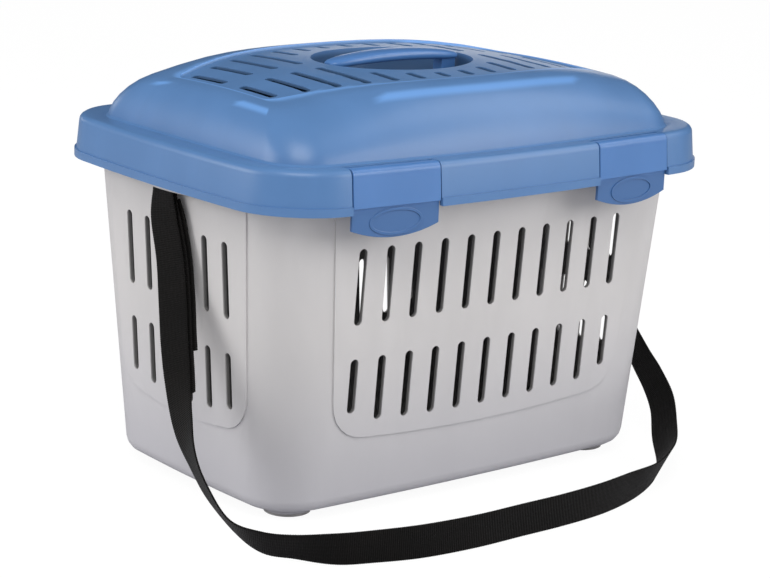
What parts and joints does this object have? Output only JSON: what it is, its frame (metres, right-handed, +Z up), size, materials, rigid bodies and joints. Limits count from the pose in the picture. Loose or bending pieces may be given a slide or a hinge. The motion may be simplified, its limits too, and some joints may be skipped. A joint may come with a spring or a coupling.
{
  "type": "small pet carrier",
  "caption": "Slatted plastic pet carrier tub with a domed hinged lid, front latches, a lift-up grip over a bowl and a webbing shoulder strap.",
  "frame": {"origin": "on the ground, under the middle of the carrier's body", "axes": "+X along the long side to the right as seen from the latches, +Y from the latches to the back hinges, +Z up"},
  "size_m": [0.4778, 0.3852, 0.3253],
  "materials": {
    "tub_plastic": "moulded, satin, light warm grey",
    "lid_plastic": "moulded, semi-gloss, mid blue",
    "latch_plastic": "moulded, semi-gloss, deeper blue",
    "pin_plastic": "plain grey",
    "pad_rubber": "soft grey foot discs",
    "webbing": "black ribbed polypropylene webbing"
  },
  "bodies": {
    "tub": {"tub": "tub_plastic", "foot_pad_front_left": "pad_rubber", "foot_pad_front_right": "pad_rubber", "foot_pad_back_left": "pad_rubber", "foot_pad_back_right": "pad_rubber", "hinge_pin_left": "pin_plastic", "hinge_pin_right": "pin_plastic", "strap_bar_left": "pin_plastic", "strap_bar_right": "pin_plastic", "shoulder_strap": "webbing", "strap_tail_left": "webbing", "strap_tail_right": "webbing"},
    "lid": {"lid": "lid_plastic"},
    "latch_left": {"latch_left": "latch_plastic"},
    "latch_right": {"latch_right": "latch_plastic"},
    "carry_handle": {"carry_handle": "latch_plastic", "handle_stop_left": "latch_plastic", "handle_stop_right": "latch_plastic"}
  },
  "joints": [
    {"name": "lid_hinge", "type": "hinge", "parent": "tub", "child": "lid", "pos_m": [0, 0.15035, 0.2429], "axis": [-1, 0, 0], "range_deg": [0, 110]},
    {"name": "latch_left_pivot", "type": "hinge", "parent": "lid", "child": "latch_left", "pos_m": [-0.11772, -0.14788, 0.26653], "axis": [-0.9981, 0.0624, 0], "range_deg": [0, 80]},
    {"name": "latch_right_pivot", "type": "hinge", "parent": "lid", "child": "latch_right", "pos_m": [0.11176, -0.14824, 0.26653], "axis": [-0.9982, -0.0592, 0], "range_deg": [0, 80]},
    {"name": "handle_slide", "type": "slide", "parent": "lid", "child": "carry_handle", "axis": [0, 0, 1], "range_m": [0, 0.02]}
  ]
}
